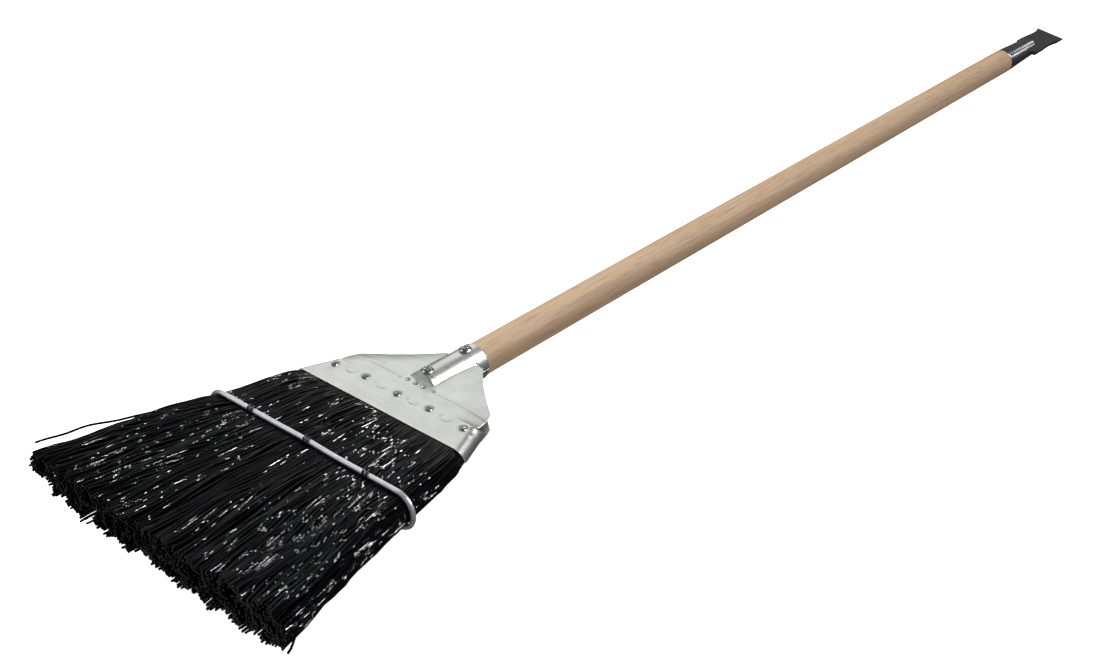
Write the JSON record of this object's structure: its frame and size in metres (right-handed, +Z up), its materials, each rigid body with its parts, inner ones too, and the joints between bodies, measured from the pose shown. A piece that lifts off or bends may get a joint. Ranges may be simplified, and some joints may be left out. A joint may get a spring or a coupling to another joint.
{
  "type": "track broom",
  "caption": "Flat broom with stiff black bristles in a sheet steel cap, a wire band round the bristles, a round wooden handle and a steel scraper blade on the handle's end.",
  "frame": {"origin": "on the ground under the middle of the broom's length, with the broom lying on its back", "axes": "+X along the handle towards the scraper blade, +Y across the head, +Z up out of the head's front face"},
  "size_m": [1.406, 0.274, 0.0378],
  "materials": {
    "wood": "bare light hardwood, sanded",
    "galvanised": "satin galvanised sheet",
    "bright_steel": "bright plated",
    "band_wire": "bright drawn wire",
    "dark_wire": "dark annealed wire",
    "bristle": "glossy black, crimped",
    "ferrule_steel": "dark polished",
    "blade_steel": "matte black"
  },
  "bodies": {
    "broom": {"handle": "wood", "chisel_ferrule": "ferrule_steel", "chisel_blade": "blade_steel", "ferrule_pin": "bright_steel", "cap_front": "galvanised", "cap_back": "galvanised", "cap_screw_lower": "bright_steel", "cap_screw_upper": "bright_steel", "wire_band": "band_wire", "bristle_root": "bristle", "cap_nail_1": "bright_steel", "cap_nail_2": "bright_steel", "cap_nail_3": "bright_steel", "cap_nail_4": "bright_steel", "cap_nail_5": "bright_steel", "band_tie_left": "dark_wire", "band_tie_middle": "dark_wire", "band_tie_right": "dark_wire", "bristles_upper_1": "bristle", "bristles_upper_2": "bristle", "bristles_upper_3": "bristle", "bristles_upper_4": "bristle"},
    "bristle_ends": {"bristles_lower_1": "bristle", "bristles_lower_2": "bristle", "bristles_lower_3": "bristle", "bristles_lower_4": "bristle"}
  },
  "joints": [
    {"name": "bristle_flex", "type": "hinge", "parent": "broom", "child": "bristle_ends", "pos_m": [-0.572, 0, 0.0177], "axis": [0, 1, 0], "range_deg": [-20, 20], "stiffness_Nm_per_rad": 25}
  ]
}
